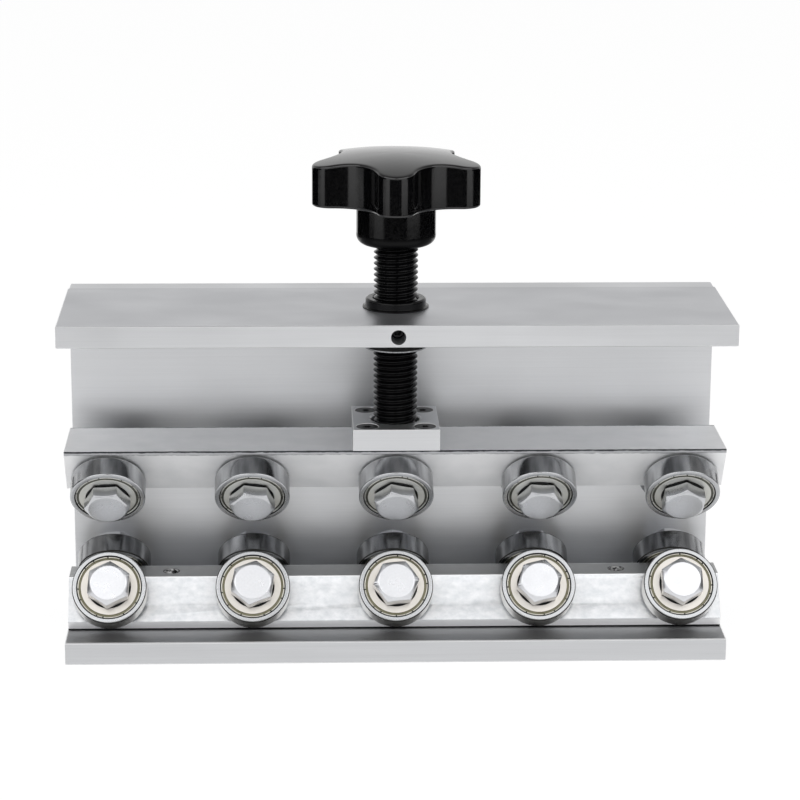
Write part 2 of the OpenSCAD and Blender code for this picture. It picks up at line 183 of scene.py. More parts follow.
# %% Floor
FLOOR_HALF, FLOOR_Z = 6.0, -1e-4
SHADOW_SHARE, LIT_PAPER = 0.2, 0.6
floor_mesh = bpy.data.meshes.new("floor")
floor_mesh.from_pydata([(x * FLOOR_HALF, y * FLOOR_HALF, FLOOR_Z)
                        for x, y in ((-1, -1), (1, -1), (1, 1), (-1, 1))], [], [(0, 1, 2, 3)])
floor = put("floor", floor_mesh)
paper, sheet = blank("white_paper_floor")
rays = add(sheet, "ShaderNodeLightPath")
seen = rays.outputs["Is Camera Ray"]
for ray in ("Is Glossy Ray", "Is Transmission Ray"):
    seen = add(sheet, "ShaderNodeMath", {0: seen, 1: rays.outputs[ray]},
               operation="MAXIMUM").outputs[0]
strength = add(sheet, "ShaderNodeMath", {0: seen, 1: 1 - LIT_PAPER * SHADOW_SHARE},
               operation="MULTIPLY")
glow = add(sheet, "ShaderNodeEmission", {"Color": WHITE, "Strength": strength.outputs[0]})
matt = add(sheet, "ShaderNodeBsdfDiffuse", {"Color": (*[SHADOW_SHARE] * 3, 1.0)})
white = add(sheet, "ShaderNodeBsdfDiffuse", {"Color": colour("#FAFAFA")})
both = add(sheet, "ShaderNodeAddShader", {0: glow.outputs[0], 1: matt.outputs[0]})
shown = add(sheet, "ShaderNodeMixShader", {0: seen, 1: white.outputs[0], 2: both.outputs[0]})
add(sheet, "ShaderNodeOutputMaterial", {"Surface": shown.outputs[0]})
floor_mesh.materials.append(paper)
print("half side of the floor in m:", FLOOR_HALF)

# %% [markdown]
# ### Black boards
# Glossy black pieces in a white room turn grey, because they mirror the room, so a photographer
# sets black boards round them. Here boards lie on the floor as two rings, whose gaps are the
# light stripes on the knob's side, and two more stand at the left and right. Only reflections
# see them.


# %% Boards
BLACK, GREY = "#0A0A0A", "#8C8C8C"
RINGS = (0.5, 0.81, 1.6)
BOARD_LIFT = 0.0005
FLAG_X, FLAG_FRONT, FLAG_BACK, FLAG_LOW, FLAG_HIGH = 0.9, -0.5, 0.6, 0.002, 0.36


def dark_board(name, points, faces, shade=BLACK):
    """A board of dull cloth that only reflections show."""
    mesh = bpy.data.meshes.new(name)
    mesh.from_pydata(points, [], faces)
    cloth, tree = blank(name)
    dull = add(tree, "ShaderNodeBsdfDiffuse", {"Color": colour(shade)})
    add(tree, "ShaderNodeOutputMaterial", {"Surface": dull.outputs[0]})
    mesh.materials.append(cloth)
    board = put(name, mesh)
    board.visible_camera = board.visible_diffuse = board.visible_shadow = False


def floor_card(name, ring, start_deg, end_deg, shade=BLACK):
    """A board on the floor: part of the near ring 0 or the far ring 1 round the screw's axis,
    between two angles counted from straight ahead to the right."""
    a = np.radians(np.linspace(start_deg, end_deg, 13))
    arcs = [np.stack([r * np.sin(a), -r * np.cos(a), np.full_like(a, BOARD_LIFT)], -1)
            for r in RINGS[ring:ring + 2]]
    n = len(a)
    dark_board(name, np.concatenate(arcs).tolist(),
               [(k, k + 1, n + k + 1, n + k) for k in range(n - 1)], shade)


floor_card("card_near_left", 0, -150, -68)
floor_card("card_near_right", 0, -36, 150)
floor_card("card_far_left", 1, -150, -84)
floor_card("card_far_ahead", 1, -40, 30)
floor_card("card_far_right", 1, 70, 150)
floor_card("card_near_gap", 0, -68, -36, GREY)
for name, x in [("flag_left", -FLAG_X), ("flag_right", FLAG_X)]:
    dark_board(name, [(x, FLAG_FRONT, FLAG_LOW), (x, FLAG_BACK, FLAG_LOW),
                      (x, FLAG_BACK, FLAG_HIGH), (x, FLAG_FRONT, FLAG_HIGH)], [(0, 1, 2, 3)])


# %% Lamps
def soft_lamp(name, place, watts):
    """A wide rectangular lamp at place in metres, turned to the middle of the tool."""
    data = bpy.data.lights.new(name, "AREA")
    data.shape = "RECTANGLE"
    data.size, data.size_y = 1.5, 0.8
    data.energy = watts
    lamp = put(name, data)
    lamp.location = place
    lamp.rotation_mode = "QUATERNION"
    lamp.rotation_quaternion = (Vector((0.0, 0.0, 0.07)) - Vector(place)).to_track_quat("-Z", "Y")


soft_lamp("lamp_left", (-0.74, -0.75, 1.0), 5.6)
soft_lamp("lamp_right", (0.70, -0.78, 1.0), 5.3)


# %% [markdown]
# ## Finishes
# Each finish starts from the real material and how its surface was made. The patterns read the
# object's own coordinates in metres, so a pattern of a given spacing keeps its real size.


# %% The start of every finish
def finish(name, base, metallic, roughness, **sockets):
    """A new material with a Principled shader: base is its hex colour, and sockets are further
    inputs of the shader, with underscores for spaces."""
    made, tree = blank(name)
    shader = add(tree, "ShaderNodeBsdfPrincipled",
                 {"Base Color": colour(base), "Metallic": metallic, "Roughness": roughness,
                  **{key.replace("_", " "): value for key, value in sockets.items()}})
    add(tree, "ShaderNodeOutputMaterial", {"Surface": shader.outputs[0]})
    return made, tree, shader


def speckle(tree, source, scale, detail, roughness):
    """Noise between 0 and 1 over the Object or UV coordinates times the three scales."""
    place = add(tree, "ShaderNodeTexCoord")
    mapped = add(tree, "ShaderNodeMapping", {"Vector": place.outputs[source], "Scale": scale})
    return add(tree, "ShaderNodeTexNoise", {"Vector": mapped.outputs[0], "Scale": 1.0,
                                            "Detail": detail, "Roughness": roughness}).outputs[0]


def pattern(tree, spacing_mm, detail=3.0):
    """Noise whose spots are spacing_mm apart, which is one number or one for each of X, Y and Z.
    The coordinates are divided by the spacing, so that one cell of it is one spacing wide."""
    scale = [1 / (s * MM) for s in np.broadcast_to(spacing_mm, 3).tolist()]
    return speckle(tree, "Object", scale, detail, 0.55)


def vary(tree, node, socket, share, low, high, start=0.3, end=0.7):
    """Lets a pattern carry an input of a node from low, where the pattern is at most start, to
    high, where it is at least end. low and high are two numbers or two hex colours. Where they
    are the same, the input keeps its plain value."""
    if low == high:
        return
    hues = isinstance(low, str)
    value = add(tree, "ShaderNodeMapRange", {"Value": share, "From Min": start, "From Max": end,
                                             "To Min": 0 if hues else low,
                                             "To Max": 1 if hues else high}).outputs[0]
    if hues:
        value = add(tree, "ShaderNodeMix", {0: value, 6: colour(low), 7: colour(high)},
                    data_type="RGBA").outputs[2]
    tree.links.new(value, node.inputs[socket])


def relief(tree, shader, height, depth_mm):
    """Bends the shading as if the surface rose by depth_mm where height is 1."""
    bump = add(tree, "ShaderNodeBump", {"Height": height, "Distance": depth_mm * MM,
                                        "Strength": 1.0})
    tree.links.new(bump.outputs[0], shader.inputs["Normal"])


def spotted(name, dark, light, rough, spots_mm, detail=3, span=(0.3, 0.7), metallic=1.0,
            **sockets):
    """A finish with one noise, whose spots are spots_mm apart: its colour lies between dark and
    light and its roughness between the two values of rough."""
    made, tree, shader = finish(name, light, metallic, rough[0], **sockets)
    spots = pattern(tree, spots_mm, detail)
    vary(tree, shader, "Base Color", spots, dark, light, *span)
    vary(tree, shader, "Roughness", spots, *rough)
    return made


# %% [markdown]
# ### Marks on a finish
# Marks are painted light and shade: bright and dark lines along edges, lighter or darker faces,
# and holes painted dark with bright glints inside. Such a mark is a shade painted over the finish
# where a mask is 1, and the mask comes from the height, or from the distance to the piece's own
# edge or hole.

# %% Masks and paint
def own_axes(tree):
    """The object's own X, Y and Z in metres."""
    place = add(tree, "ShaderNodeTexCoord")
    return add(tree, "ShaderNodeSeparateXYZ", {0: place.outputs["Object"]}).outputs


def in_band(tree, low_mm, high_mm):
    """1 where the height over the base lies between the two values."""
    middle, half = (low_mm + high_mm) / 2 * MM, (high_mm - low_mm) / 2 * MM
    return add(tree, "ShaderNodeMath", {0: own_axes(tree)["Z"], 1: middle, 2: half},
               operation="COMPARE").outputs[0]


def distance(tree, sided, side_mm, other, other_mm):
    """How far a point is from the two lines at plus and minus side_mm on one axis and at other_mm
    on another: the length of the two offsets taken together."""
    axes = own_axes(tree)
    side = add(tree, "ShaderNodeMath", {0: axes[sided]}, operation="ABSOLUTE").outputs[0]
    offsets = [add(tree, "ShaderNodeMath", {0: value, 1: mm * MM}, operation="SUBTRACT").outputs[0]
               for value, mm in ((side, side_mm), (axes[other], other_mm))]
    both = add(tree, "ShaderNodeCombineXYZ", dict(enumerate(offsets)))
    return add(tree, "ShaderNodeVectorMath", {0: both.outputs[0]}, operation="LENGTH").outputs[1]


def near_edge(tree, across_mm, up_mm, half_mm):
    """1 near an edge that runs along X, and 0 well past half_mm from it. The border is ragged: it
    lies where the distance equals half_mm times a fine noise between 0.45 and 1."""
    reach = add(tree, "ShaderNodeMath", {1: half_mm * MM}, operation="MULTIPLY")
    vary(tree, reach, 0, pattern(tree, (2.6, 0.8, 0.8), detail=4), 0.45, 1.0)
    ratio = add(tree, "ShaderNodeMath", {0: distance(tree, "Y", across_mm, "Z", up_mm),
                                         1: reach.outputs[0]}, operation="DIVIDE")
    return add(tree, "ShaderNodeMapRange", {"Value": ratio.outputs[0], "From Min": 0.75,
                                            "From Max": 1.25, "To Min": 1, "To Max": 0}).outputs[0]


def in_hole(tree, along_mm, radius_mm):
    """1 inside two upright holes on the middle line at along_mm before and past the middle."""
    return add(tree, "ShaderNodeMath", {0: distance(tree, "X", along_mm, "Y", 0),
                                        1: radius_mm * MM}, operation="LESS_THAN").outputs[0]


def mark(tree, shader, mask, dark, light=None):
    """Paints a shade over the colour that feeds the shader where mask is 1. With a second shade
    the paint is speckled with both."""
    under = shader.inputs["Base Color"].links[0].from_socket
    paint = add(tree, "ShaderNodeMix", {0: mask, 6: under, 7: colour(dark)}, data_type="RGBA")
    if light:
        vary(tree, paint, 7, pattern(tree, (1.5, 1.5, 0.8), detail=1), dark, light, 0.38, 0.5)
    tree.links.new(paint.outputs[2], shader.inputs["Base Color"])


# %% [markdown]
# ### Satin aluminium of the plates
# The plates are cut from rolled bar and finished with a fine belt along their length, then
# anodised clear. That gives the eye an even light grey with a soft mirror image, a little longer
# across the belt lines than along them. The true lines are a tenth of a millimetre apart and
# would vanish in the picture, so they are drawn 0.5 mm apart. The faces of the top plate and the
# bottom plate that look up are painted darker, which is painted shade, and the plates' eased
# edges carry a painted white highlight. The back, bottom and keeper plates get darker copies of
# the satin finish, which are painted shade too.

# %% Satin aluminium
TOP_FACE, BOTTOM_FACE, SKIN = 120.7, 8.0, 0.03


def belt_finish(name, dark, light):
    """Satin aluminium whose belt lines vary between two colours."""
    made, tree, shader = finish(name, light, 1.0, 0.4)
    belt = pattern(tree, (45, 0.5, 0.5), detail=4)
    vary(tree, shader, "Base Color", belt, dark, light)
    vary(tree, shader, "Roughness", pattern(tree, (30, 18, 18), detail=2), 0.36, 0.44)
    relief(tree, shader, belt, 0.0012)
    return made, tree, shader


satin, tree, shader = belt_finish("satin_anodised_aluminium", "#E2E3E5", "#E6E7E9")
# Painted shade: the top plate's upper face is painted a little darker than its sides.
mark(tree, shader, in_band(tree, TOP_FACE - 0.05, TOP_FACE + 0.3), "#CFD0D3")
# Painted shade: the bottom, back and keeper plates get darker copies of the same satin finish.
satin_base, tree, shader = belt_finish("satin_bottom_plate", "#C4C5C7", "#CACBCD")
# Painted shade and reflection: the bottom plate's upper face is painted much darker, which stands
# for the shadow and the dark reflection of the beams above it.
mark(tree, shader, in_band(tree, BOTTOM_FACE - SKIN, BOTTOM_FACE + 1), "#9C9D9F")
satin_back = belt_finish("satin_back_plate", "#DBDCDE", "#DFE0E2")[0]
satin_keeper = belt_finish("satin_keeper_plate", "#D5D6D8", "#DBDCDE")[0]
# Painted highlight: a nearly white matt paint for the plates' rounded edges, which stands for the
# thin bright line that light makes there.
edge_highlight_paint = spotted("painted_edge_highlight", "#F0F0F0", "#FFFFFF", (0.35, 0.55), (6, 1, 1),
                    metallic=0.0)

# %% [markdown]
# ### Milled aluminium of the beams
# The beams were milled and then tumbled. On the upper beam that leaves faint clouds of lighter
# and duller metal about 8 mm across, with tiny nicks. A painted dark reflection with a ragged
# border runs along its top edges, and a painted grey shade dims the lit edge where its slopes
# begin. The lower beam was planed as well, which leaves finer clouds. Its top is painted a darker
# shade with painted highlights along its edges, its skirt is painted light, and below the skirt a
# painted black shadow marks the gap. The two holes in its top get a painted dark ring and,
# inside, painted speckles of glints and shade.

# %% Milled aluminium
UPPER_HALF = -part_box("upper_beam")[0][1] / MM
UPPER_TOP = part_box("upper_beam")[1][2] / MM
UPPER_SLOPE_FROM = 72.3
LOWER_TOP, LOWER_TOP_HALF, SKIRT_TOP, SKIRT_LOW = 24.5, 6.1, 10.8, 8.47
HOLES_AT, HOLE_R, HOLE_EDGE_R = 79.0, 2.58, 2.95


def mill_finish(name, cloud_mm, dark, light, rough, depth_mm):
    """Milled aluminium with clouds of cloud_mm between two colours, a roughness between the two
    values of rough and a relief of depth_mm: the clouds' height less the nicks'."""
    made, tree, shader = finish(name, light, 1.0, rough[0])
    clouds = pattern(tree, (cloud_mm * 1.3, cloud_mm, cloud_mm), detail=5)
    vary(tree, shader, "Base Color", clouds, dark, light)
    vary(tree, shader, "Roughness", clouds, *rough)
    height = add(tree, "ShaderNodeMath", {1: -1.0, 2: clouds}, operation="MULTIPLY_ADD")
    vary(tree, height, 0, pattern(tree, (0.9, 0.6, 0.6), detail=2), 0.08, 0, 0.25, 0.33)
    relief(tree, shader, height.outputs[0], depth_mm)
    return made, tree, shader


milled, tree, shader = mill_finish("milled_aluminium", 8, "#F1F2F3", "#FAFAFB", (0.48, 0.58), 0.01)
# Painted shade: a grey line with a ragged border dims the lit edge where the upper beam's slopes
# begin.
mark(tree, shader, near_edge(tree, UPPER_HALF, UPPER_SLOPE_FROM, 0.95), "#B4B5B8")
# Painted reflection: a dark line with a ragged border along the upper beam's top edges, which
# stands for the dark that their chamfers mirror.
mark(tree, shader, near_edge(tree, UPPER_HALF, UPPER_TOP, 0.62), "#3C3D40")

planed, tree, shader = mill_finish("planed_aluminium", 2.2, "#D3D6D9", "#F3F4F6", (0.37, 0.48),
                                   0.035)
# Painted shade: the lower beam's flat top is painted darker, which stands for the dark it mirrors.
mark(tree, shader, in_band(tree, LOWER_TOP - SKIN, LOWER_TOP + 0.5), "#C0C1C1")
# Painted light: the skirt is painted nearly white.
mark(tree, shader, in_band(tree, SKIRT_LOW, SKIRT_TOP), "#FCFCFD")
# Painted shadow: a black band below the skirt stands for the shadow gap under the beam.
mark(tree, shader, in_band(tree, 7.0, SKIRT_LOW), "#0E0E0F")
# Painted highlight: bright lines along the flat top's two edges.
mark(tree, shader, near_edge(tree, LOWER_TOP_HALF, LOWER_TOP, 0.4), "#FAFBFC")
# Painted shade: a dark ring round each hole.
mark(tree, shader, in_hole(tree, HOLES_AT, HOLE_EDGE_R), "#1A1A1A", "#39393A")
# Painted glints and shade: white specks between dark ones inside each hole, for the lit crests and
# the shade of its thread.
mark(tree, shader, in_hole(tree, HOLES_AT, HOLE_R), "#3A3A3A", "#FFFFFF")
print("upper beam's half width and top in mm:", round(UPPER_HALF, 2), round(UPPER_TOP, 2))


# %% [markdown]
# ### Bearing steel
# The races are hardened chromium steel, ground round and then polished: a dark clear mirror with
# the finest lines running round the ring. The lines follow the ring through its own UV map,
# whose U goes once round and whose V is the distance over the section in centimetres. The rings'
# outsides carry painted reflections: streaks across their width, dark and light, on a darker copy
# of the steel. The lower front rings' outsides get a lighter copy, which is painted light. The
# grooves, and on the lower rings the chamfers, get a near-black paint, which is painted shade and
# painted dark reflection.

# %% Bearing steel
def ring_finish(name, dark, light, rough, cells, detail=3, span=(0.3, 0.7), depth_mm=0.0):
    """Steel with a noise of cells[0] cells round the ring and cells[1] in a centimetre of its
    section, which carries its colour, its roughness and its relief."""
    made, tree, shader = finish(name, light, 1.0, rough[0])
    lines = speckle(tree, "UV", (*cells, 1.0), detail, 0.5)
    vary(tree, shader, "Base Color", lines, dark, light, *span)
    vary(tree, shader, "Roughness", lines, *rough)
    if depth_mm:
        relief(tree, shader, lines, depth_mm)
    return made


race_steel = ring_finish("ground_bearing_steel", "#ACAEB0", "#C0C1C3", (0.16, 0.28), (6.0, 40.0),
                         detail=5, span=(0, 1), depth_mm=0.001)
# Painted reflections: streaks across the outsides of the rings, on a darker copy of the steel; the
# next finish is a lighter copy, which is painted light.
steel_painted_reflections = ring_finish("race_outside_painted_reflections", "#7C7D7F", "#B4B5B7", (0.15, 0.24), (14.0, 0.4),
                          span=(0.38, 0.62))
steel_painted_light = ring_finish("race_outside_painted_light", "#CAC7C2", "#E4E2DE", (0.26, 0.36), (9.0, 0.6))
# Painted shade: the inner races are painted nearly black, which stands for the shadow in the gap
# under the bolt heads.
inner_race_shade = spotted("inner_race_painted_shade", "#2E2F30", "#2E2F30", (0.3, 0.45), 1.5)
# Painted shade and dark reflection: a near-black paint for the races' grooves and for the shadow
# under the bolt heads, and on the lower bearings' chamfers for the dark they mirror.
painted_dark = spotted("painted_dark_shade", "#0C0C0B", "#23221E", (0.4, 0.4), 1.5, span=(0, 1),
                 metallic=0.0, Specular_IOR_Level=0.3)

# %% [markdown]
# ### Pressed bearing shields
# The shields are thin pressed steel sheet. The lower bearings' have a warm yellow passivation:
# their flat ring looks like ivory where it faces the lamp, and the sunken step round it looks
# olive. The upper bearings' sheet, step and rim are greyer, darker copies of these, which are
# painted shade.

# %% Shield sheets, their steps and the crimped rims
ivory = spotted("ivory_passivated_sheet", "#D5D0C8", "#E0DCD6", (0.3, 0.45), 5)
olive = spotted("olive_step_sheet", "#6C6956", "#888570", (0.35, 0.5), 3)
crimp = spotted("crimped_rim_sheet", "#D2CEC2", "#E8E5DC", (0.25, 0.4), 2)
# Painted shade: the next three finishes are greyer, darker copies of the three above, for the
# upper bearings.
shield_sheet_in_shade = spotted("shield_sheet_painted_shade", "#CBCBC6", "#D8D8D3", (0.3, 0.4), 5)
step_sheet_in_shade = spotted("step_sheet_painted_shade", "#4A4A45", "#66665F", (0.25, 0.4), 3)
crimped_rim_in_shade = spotted("crimped_rim_painted_shade", "#C4C4BF", "#D8D8D3", (0.25, 0.35), 2)

# %% [markdown]
# ### Zinc plate of the bolts
# The hexagon bolts are cold headed and bright zinc plated: light, slightly blue, with a faint
# frosting of zinc crystals that is drawn at 0.7 mm. The upper bolts get a darker copy of the zinc,
# which is painted shade. The tips of the lower beam's two screws get painted glints: white specks
# between dark ones.

# %% Zinc plate and scraped tips
def zinc_finish(name, dark, light):
    """Zinc plate whose crystals vary between two colours, with a haze in its gloss."""
    made, tree, shader = finish(name, light, 1.0, 0.28)
    vary(tree, shader, "Base Color", pattern(tree, 0.7), dark, light)
    vary(tree, shader, "Roughness", pattern(tree, 6, detail=2), 0.26, 0.32)
    return made


zinc = zinc_finish("bright_zinc_plate", "#D8D9DC", "#DEDFE2")
# Painted shade: a darker copy of the zinc for the upper bolts.
zinc_in_painted_shade = zinc_finish("zinc_plate_painted_shade", "#C2C4C6", "#C9CACD")
# Painted glints: white matt specks between dark ones on the lower beam's screw tips.
painted_glints = spotted("screw_tip_painted_glints", "#262626", "#FFFFFF", (0.4, 0.4), (1.6, 3.2, 1.6),
                  detail=1, span=(0.46, 0.54), metallic=0.0)

# %% [markdown]
# ### Turned and blackened steel
# Turned steel shows fine rings of the lathe tool. The screw and its bush are blackened in hot
# salts and oiled, which leaves a deep black with small grey glints on every ridge.

# %% Turned steel, blackened steel, black screws
turned = spotted("turned_steel", "#8E8F91", "#A9AAAC", (0.18, 0.34), (0.8, 0.8, 0.5))
blackened, tree, shader = finish("blackened_oiled_steel", "#030304", 0.0, 0.15, IOR=1.5,
                                 Specular_IOR_Level=0.18)
grain = pattern(tree, (1.5, 1.5, 0.9))
vary(tree, shader, "Base Color", pattern(tree, 4), "#030304", "#070708")
vary(tree, shader, "Roughness", grain, 0.08, 0.2)
relief(tree, shader, grain, 0.06)
black_screw = spotted("black_oxide_screw", "#1E1E1F", "#39393A", (0.28, 0.46), 1.2, metallic=0.6)

# %% [markdown]
# ### Black phenolic and nylon
# The knob is moulded phenolic with its mould's polish: black, glossy, with a very slight ripple.
# Low on its hub the mould was left dull. The ball cages are moulded nylon, which is duller and a
# little yellow.

# %% Phenolic and nylon
phenolic, tree, shader = finish("black_moulded_phenolic", "#030304", 0.0, 0.1, IOR=1.58)
dust = pattern(tree, 1.1)
vary(tree, shader, "Base Color", dust, "#020203", "#060607")
vary(tree, shader, "Roughness", dust, 0.11, 0.15)
relief(tree, shader, pattern(tree, 7, detail=2), 0.006)
dull_phenolic = spotted("dull_phenolic_underside", "#030304", "#030304", (0.18, 0.26), 1.1,
                        metallic=0.0, IOR=1.5, Specular_IOR_Level=0.12)
nylon = spotted("moulded_nylon", "#C4B893", "#DACFAE", (0.42, 0.6), 2, metallic=0.0, IOR=1.53)
print("finishes:", len(bpy.data.materials))


# %% [markdown]
# ## Surfaces from arrays
# A new piece is a grid of points: each row is a closed loop round the piece, and the rows follow
# its outline. One function turns the grid into faces, closes the ends at a single point or joins
# the last row to the first, and another makes the object. The sign of the volume that the faces
# enclose tells whether they point outwards, so a grid may run either way.


# %% A grid of loops becomes faces
def skin(points, ring=False, finish=0):
    """Faces of a grid of loops. points has the shape rows, columns, 3 in metres. Columns close
    on themselves. With ring the last row joins the first; otherwise a first or last row whose
    points all lie together becomes one point, and its faces become triangles. finish is the
    number of the finish, or one number for each strip between two rows."""
    p = np.asarray(points, float)
    rows, columns = p.shape[:2]
    index = np.arange(rows * columns).reshape(rows, columns)
    start = not ring and np.ptp(p[0], axis=0).max() < 1e-9
    end = not ring and np.ptp(p[-1], axis=0).max() < 1e-9
    if start:
        index[0] = index[0, 0]
    if end:
        index[-1] = index[-1, 0]
    step = np.linalg.norm(np.diff(p, axis=0), axis=2).mean(axis=1)
    along = np.concatenate([[0], np.cumsum(step)]) * 100
    near = index if ring else index[:-1]
    far = np.roll(index, -1, axis=0) if ring else index[1:]
    strips = len(near)
    faces = np.stack([near, np.roll(near, -1, 1), np.roll(far, -1, 1), far], -1)
    u = np.arange(columns + 1) / columns
    v0 = along[:strips]
    v1 = np.append(along, along[-1])[1:strips + 1]
    uv = np.zeros((strips, columns, 4, 2))
    uv[..., 0] = np.stack([u[:-1], u[1:], u[1:], u[:-1]], -1)[None]
    uv[..., 1] = np.stack([v0, v0, v1, v1], -1)[:, None]
    kind = np.broadcast_to(np.asarray(finish), (strips,))
    kinds = np.repeat(kind[:, None], columns, 1)
    first, last = (1 if start else 0), (strips - 1 if end else strips)
    quads = faces[first:last].reshape(-1, 4)
    quad_uv = uv[first:last].reshape(-1, 4, 2)
    quad_kind = kinds[first:last].ravel()
    tris, tri_uv, tri_kind = [np.zeros((0, 3), int)], [np.zeros((0, 3, 2))], [np.zeros(0, int)]
    for yes, strip, pick in ((start, 0, [0, 2, 3]), (end, strips - 1, [0, 1, 2])):
        if yes:
            tris.append(faces[strip][:, pick])
            tri_uv.append(uv[strip][:, pick])
            tri_kind.append(kinds[strip])
    tris, tri_uv, tri_kind = np.concatenate(tris), np.concatenate(tri_uv), np.concatenate(tri_kind)
    p = p.reshape(-1, 3)
    all_tris = np.concatenate([quads[:, [0, 1, 2]], quads[:, [0, 2, 3]], tris])
    a, b, c = (p[all_tris[:, k]] for k in range(3))
    if np.einsum("ij,ij->", a - p[0], np.cross(b - p[0], c - p[0])) < 0:
        quads, quad_uv = quads[:, ::-1], quad_uv[:, ::-1]
        tris, tri_uv = tris[:, ::-1], tri_uv[:, ::-1]
    used, position = np.unique(np.concatenate([quads.ravel(), tris.ravel()]), return_inverse=True)
    position = position.ravel()
    return {"points": p[used], "quads": position[:quads.size].reshape(-1, 4),
            "tris": position[quads.size:].reshape(-1, 3),
            "uv": np.concatenate([quad_uv.reshape(-1, 2), tri_uv.reshape(-1, 2)]),
            "kinds": np.concatenate([quad_kind, tri_kind])}


# %% Skins become an object
def build(name, parts, finishes, sharp_deg=40):
    """One object from several skins: their points are put one after another, quads first."""
    start = np.cumsum([0] + [len(s["points"]) for s in parts])
    points = np.concatenate([s["points"] for s in parts])
    faces, uv, kinds = [], [], []
    for s, first in zip(parts, start):
        faces += (s["quads"] + first).tolist() + (s["tris"] + first).tolist()
        uv.append(s["uv"])
        kinds.append(s["kinds"])
    mesh = bpy.data.meshes.new(name)
    mesh.from_pydata(points.tolist(), [], faces)
    for f in finishes:
        mesh.materials.append(f)
    mesh.polygons.foreach_set("material_index", np.concatenate(kinds).astype(np.int32))
    mesh.polygons.foreach_set("use_smooth", np.ones(len(faces), bool))
    layer = mesh.uv_layers.new(name="around_and_along")
    layer.data.foreach_set("uv", np.concatenate(uv).astype(np.float32).ravel())
    mesh.set_sharp_from_angle(angle=math.radians(sharp_deg))
    mesh.update()
    return put(name, mesh)


# %% Outlines and turning
def rounded(corners, steps=4, closed=False):
    """An outline with rounded corners. Each corner is r, z and its radius in mm. The arc touches
    both legs at radius / tan(half the inside angle) from the corner, and its middle lies on the
    corner's bisector at radius / sin(half the inside angle). A further point on each leg, a
    little past the arc, keeps the smooth shading of the arc off the straight part."""
    c = np.array(corners, float)
    out = []
    for k in range(len(c)):
        corner, radius = c[k, :2], c[k, 2]
        if radius == 0 or (not closed and k in (0, len(c) - 1)):
            out.append(corner[None])
            continue
        a, b = c[k - 1, :2] - corner, c[(k + 1) % len(c), :2] - corner
        reach_a, reach_b = np.linalg.norm(a), np.linalg.norm(b)
        a, b = a / reach_a, b / reach_b
        half = math.acos(np.clip(a @ b, -1, 1)) / 2
        middle = corner + (a + b) / np.linalg.norm(a + b) * radius / math.sin(half)
        t = radius / math.tan(half)
        p0, p1 = corner + a * t - middle, corner + b * t - middle
        g0, g1 = math.atan2(p0[1], p0[0]), math.atan2(p1[1], p1[0])
        turn = (g1 - g0 + math.pi) % (2 * math.pi) - math.pi
        g = g0 + turn * np.linspace(0, 1, steps + 1)
        arc = middle + radius * np.stack([np.cos(g), np.sin(g)], -1)
        before, after = (corner[None] + leg[None] * t * 1.25 if room > 1.6 * t
                         else np.zeros((0, 2)) for leg, room in ((a, reach_a), (b, reach_b)))
        out.append(np.concatenate([before, arc, after]))
    return np.concatenate(out)


def around(r, z, t):
    """Grid of the points r cos t, r sin t, z for radii r, heights z and angles t."""
    r, z, t = np.broadcast_arrays(r, z, t)
    return np.stack([r * np.cos(t), r * np.sin(t), z], -1)


def lathe(outline, columns):
    """Grid of an outline of radii and heights turned about Z. Lengths stay in mm."""
    r, z = np.asarray(outline).T[..., None]
    return around(r, z, np.arange(columns) * 2 * math.pi / columns)


# %% [markdown]
# ## Where the bearings sit
# Each bearing stands on a slope of its beam. The beams' slopes lean 34 degrees, the upper ones
# downwards and the lower ones upwards, and the rear rows are the front rows turned half round.

# %% Places on the slopes
ROWS = ["upper_front", "upper_rear", "lower_front", "lower_rear"]
SLOPE = math.radians(34)
PITCH_MM = 50.0
# A seat's distance from the middle line and its height, which lie down the slope from the slope's
# upper edge, the spacer's height and how far the bolt's shank reaches into the beam.
SEATS = {"upper": (15.6 - 13.1 * math.sin(SLOPE), 71.9 - 13.1 * math.cos(SLOPE), 0.7, 6.0),
         "lower": (LOWER_TOP_HALF + 6.3 * math.sin(SLOPE), LOWER_TOP - 6.3 * math.cos(SLOPE),
                   1.6, 7.0)}
BODY_OF_ROW = {"upper": "upper_beam", "lower": "frame"}


def on_slope(points, row, n):
    """Carries points in mm from a bearing's own place, +z away from the slope, to metres in the
    frame: turned about X until +z leans 34 degrees off the level, moved to the seat, turned half
    round for a rear row, and moved along X to the n-th bearing."""
    level, side = row.split("_")
    seat_y, seat_z = SEATS[level][:2]
    lean = math.pi / 2 + (SLOPE if level == "upper" else -SLOPE)
    x, y, z = points[..., 0], points[..., 1], points[..., 2]
    y, z = y * math.cos(lean) - z * math.sin(lean), y * math.sin(lean) + z * math.cos(lean)
    y, z = y - seat_y, z + seat_z
    if side == "rear":
        x, y = -x, -y
    return np.stack([x + (n - 2) * PITCH_MM, y, z], -1) * MM


# %% [markdown]
# ## Bearings
# A bearing is a race, two sheet shields and a thin crimped rim that holds each shield. All of
# them are rings, so each is a closed outline turned about the bearing's axis. The rim was pinched
# at twelve uneven places, which leaves short gaps between arcs of a round bead. The outlines list
# radius, height and rounding in mm.

